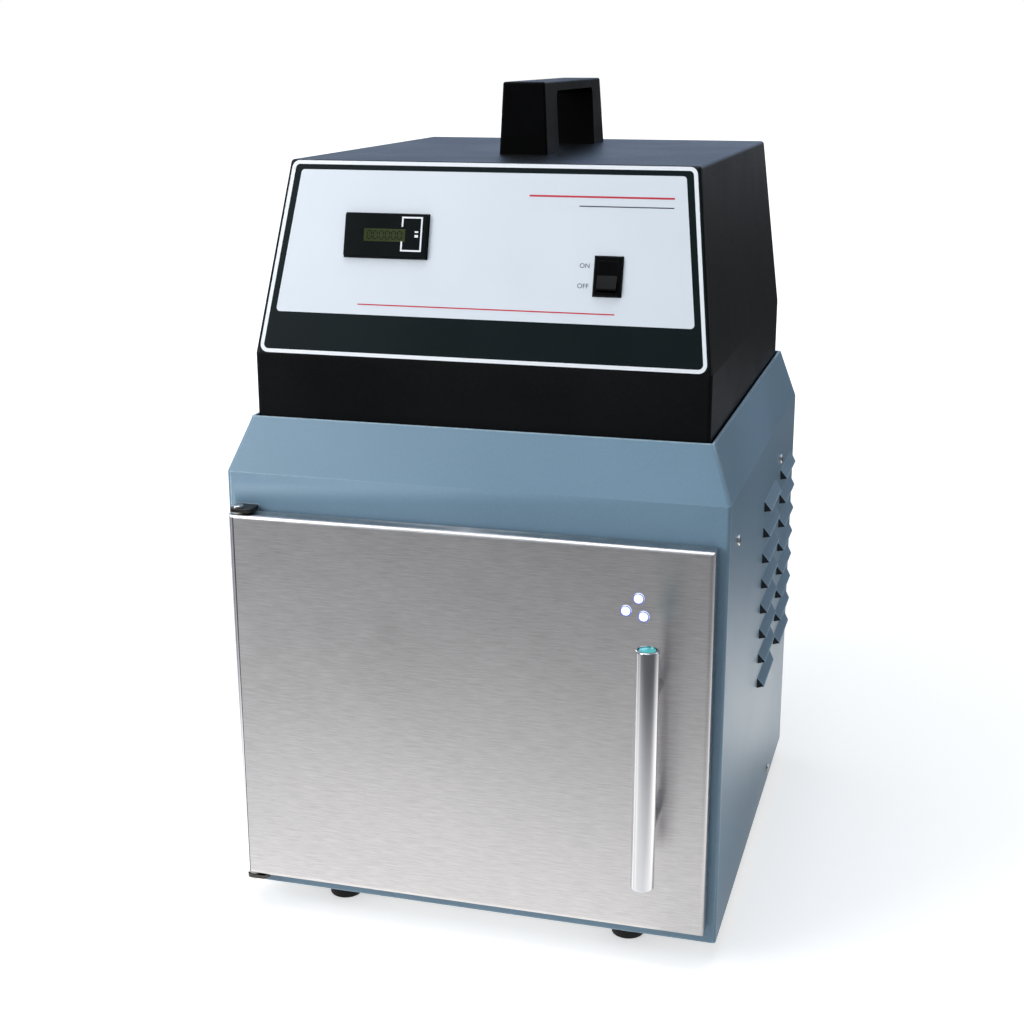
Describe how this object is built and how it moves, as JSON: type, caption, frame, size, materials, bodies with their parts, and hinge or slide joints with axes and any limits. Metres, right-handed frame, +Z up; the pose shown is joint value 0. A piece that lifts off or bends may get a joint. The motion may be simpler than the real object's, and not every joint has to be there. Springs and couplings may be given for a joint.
{
  "type": "uv curing box",
  "caption": "Bench-top curing cabinet with a side-hinged stainless door, louvred sides and a lift-off lamp head that shines down into the chamber.",
  "frame": {"origin": "centre of the bounding box in plan, on the surface under the feet", "axes": "+Z up; the door and the sloping control face are towards -Y; +X is to the right as seen from the front, on the side of the bar pull"},
  "size_m": [0.2954, 0.3476, 0.4816],
  "materials": {
    "cabinet_paint": "satin blue-grey powder coat with a fine texture",
    "head_paint": "black fine-texture powder coat",
    "brushed_door": "stainless sheet, horizontal brushed grain",
    "polished_bar": "bright polished stainless",
    "zinc_sheet": "zinc-plated sheet, mill finish",
    "bright_liner": "bright rolled aluminium",
    "dark_steel": "dark plated steel",
    "screw_steel": "bright nickel-plated",
    "black_plastic": "moulded, fine satin texture",
    "switch_plastic": "moulded, satin gloss",
    "black_rubber": "matt moulded rubber",
    "black_foam": "closed-cell foam, matt",
    "label_film": "printed polycarbonate film, satin",
    "display": "reflective liquid crystal, grey green",
    "window_glow": "filter rod, lit from behind",
    "nylon": "natural nylon",
    "magnet_nickel": "nickel-plated magnet",
    "clear_glass": "clear heat-proof glass",
    "ceramic": "glazed white ceramic",
    "lamination": "varnished laminated steel",
    "potting": "potted case",
    "capacitor_can": "drawn aluminium can"
  },
  "bodies": {
    "cabinet": {"front_fascia": "cabinet_paint", "side_panel_right": "cabinet_paint", "side_panel_left": "cabinet_paint", "rear_panel": "cabinet_paint", "base_pan": "zinc_sheet", "lamp_deck": "zinc_sheet", "lamp_gasket": "black_foam", "liner_right": "bright_liner", "liner_left": "bright_liner", "liner_rear": "bright_liner", "work_plate": "zinc_sheet", "rubber_feet": "black_rubber", "foot_screws": "screw_steel", "hinge_bracket_upper": "dark_steel", "hinge_bracket_lower": "dark_steel", "hinge_pins": "screw_steel", "hinge_bracket_screws": "screw_steel", "catch_magnets": "magnet_nickel", "interlock_switch": "black_plastic", "side_screws": "screw_steel", "rear_screws": "screw_steel"},
    "door": {"door_skin": "brushed_door", "door_inner_panel": "zinc_sheet", "door_spacers": "zinc_sheet", "door_seal": "black_foam", "door_pull_bar": "polished_bar", "door_pull_posts": "polished_bar", "door_pull_screws": "screw_steel", "view_windows": "window_glow", "strike_plates": "screw_steel", "hinge_bushes": "nylon"},
    "lamp_head": {"head_cover": "head_paint", "head_rear_panel": "head_paint", "head_base_plate": "zinc_sheet", "head_rear_screws": "screw_steel", "front_label": "label_film", "hour_meter": "black_plastic", "hour_display": "display", "power_switch": "switch_plastic", "mains_switch": "switch_plastic", "carry_handle": "black_plastic", "carry_handle_screws": "screw_steel", "uv_window": "clear_glass", "window_retainer": "zinc_sheet", "reflector": "bright_liner", "lamp_bulb": "clear_glass", "lamp_socket": "ceramic", "socket_bracket": "zinc_sheet", "ballast": "lamination", "igniter": "potting", "capacitor": "capacitor_can", "fan_frame": "black_plastic", "fan_guard": "screw_steel", "fan_screws": "screw_steel", "power_inlet": "black_plastic", "fuse_holder": "black_plastic"},
    "power_rocker": {"power_rocker": "switch_plastic"},
    "mains_rocker": {"mains_rocker": "switch_plastic"},
    "fan_rotor": {"fan_rotor": "black_plastic"},
    "interlock_plunger": {"interlock_plunger": "nylon"}
  },
  "joints": [
    {"name": "door_hinge", "type": "hinge", "parent": "cabinet", "child": "door", "pos_m": [-0.1338, -0.1338, 0.13605], "axis": [0, 0, -1], "range_deg": [0, 120]},
    {"name": "interlock_travel", "type": "slide", "parent": "cabinet", "child": "interlock_plunger", "axis": [0, -1, 0], "range_m": [0, 0.003]},
    {"name": "head_lift", "type": "slide", "parent": "cabinet", "child": "lamp_head", "axis": [0, 0, 1], "range_m": [0, 0.03]},
    {"name": "power_rocker_tilt", "type": "hinge", "parent": "lamp_head", "child": "power_rocker", "pos_m": [0.0702, -0.0983, 0.38357], "axis": [1, 0, 0], "range_deg": [0, 18]},
    {"name": "mains_rocker_tilt", "type": "hinge", "parent": "lamp_head", "child": "mains_rocker", "pos_m": [-0.038, 0.1639, 0.364], "axis": [-1, 0, 0], "range_deg": [0, 18]},
    {"name": "fan_spin", "type": "hinge", "parent": "lamp_head", "child": "fan_rotor", "pos_m": [0.06, 0.1492, 0.36], "axis": [0, 1, 0], "continuous": true}
  ],
  "couplings": [
    {"joint": "interlock_travel", "follows": "door_hinge", "m_per_rad": 0.00143}
  ]
}
